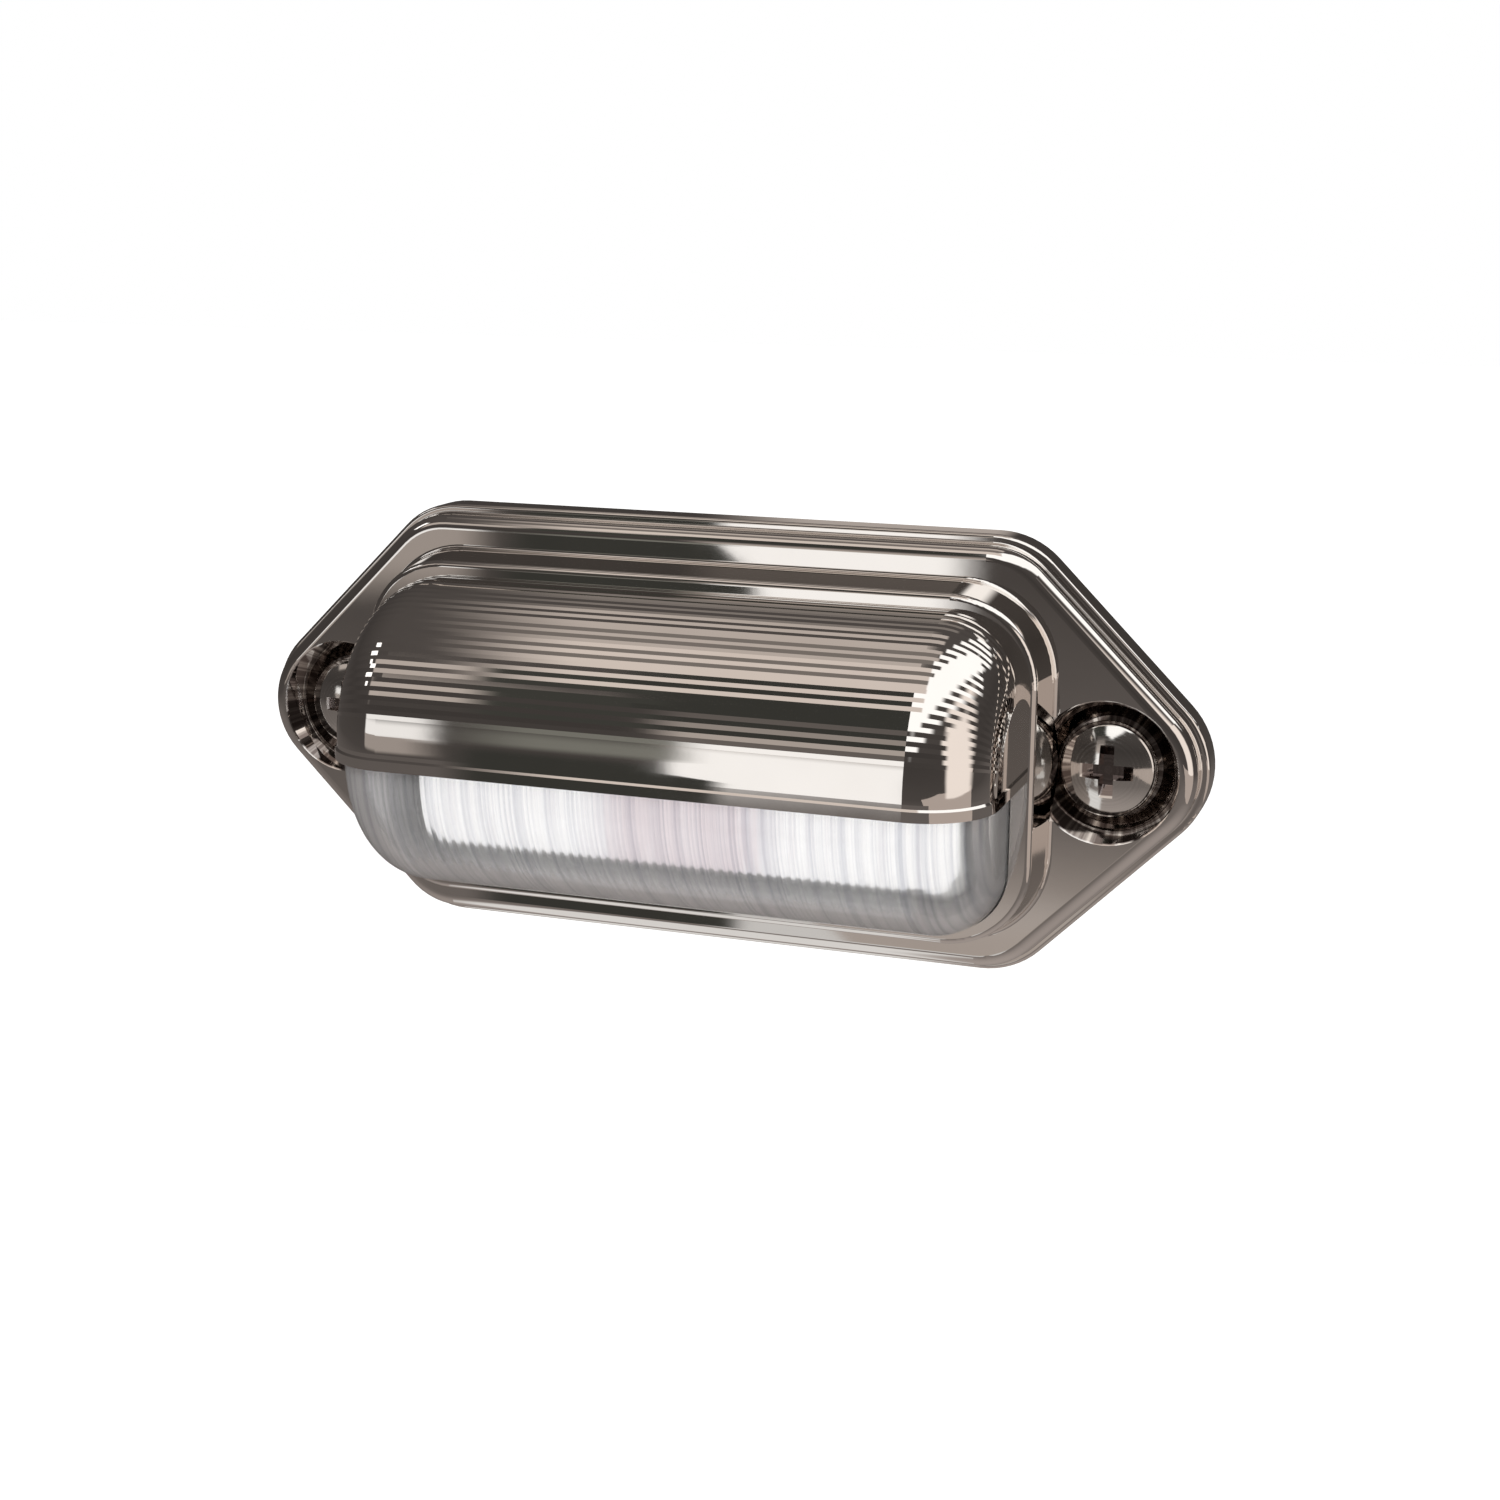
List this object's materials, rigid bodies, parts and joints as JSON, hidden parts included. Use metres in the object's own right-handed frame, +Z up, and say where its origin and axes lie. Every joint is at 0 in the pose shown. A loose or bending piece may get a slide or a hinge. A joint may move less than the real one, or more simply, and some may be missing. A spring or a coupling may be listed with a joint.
{
  "type": "number plate lamp",
  "caption": "Car number plate lamp: pointed stepped flange with dished screw seats, reeded quarter-round hood, clear fluted lens below it and a lit white panel inside.",
  "frame": {"origin": "centre of the mounting face, midway between the mounting screws", "axes": "+X along the lamp, +Y into the bodywork along the mounting screws, +Z up; the lamp faces -Y"},
  "size_m": [0.1, 0.0394, 0.0434],
  "materials": {
    "plated_bracket": "polished bright plating on moulded plastic",
    "clear_lens": "clear moulded plastic, polished outside and fluted inside",
    "white_reflector": "smooth white moulding, lit by the emitters",
    "white_board": "white solder mask on aluminium",
    "emitter": "white package with a clear-filled cup",
    "black_cover": "fine-textured black moulding",
    "black_rubber": "soft satin rubber",
    "black_foam": "closed-cell foam",
    "pale_silicone": "satin silicone",
    "plated_screw": "bright plated steel",
    "steel_screw": "zinc-plated steel",
    "black_component": "moulded epoxy",
    "amber_component": "moulded epoxy",
    "tinned_post": "tinned brass"
  },
  "bodies": {
    "root": {"bracket": "plated_bracket", "lens": "clear_lens", "lens_gasket": "pale_silicone", "back_cover": "black_cover", "wire_grommet": "black_rubber", "mounting_gasket": "black_foam", "mounting_screw_left": "plated_screw", "mounting_screw_right": "plated_screw", "led_board": "white_board", "reflector": "white_reflector", "led_1": "emitter", "led_2": "emitter", "led_3": "emitter", "led_4": "emitter", "resistor_1": "black_component", "resistor_2": "black_component", "diode": "black_component", "capacitor": "amber_component", "regulator": "black_component", "terminal_positive": "tinned_post", "terminal_negative": "tinned_post", "cover_screw_1": "steel_screw", "cover_screw_2": "steel_screw", "cover_screw_3": "steel_screw", "cover_screw_4": "steel_screw", "board_screw_left": "steel_screw", "board_screw_right": "steel_screw"}
  },
  "joints": []
}
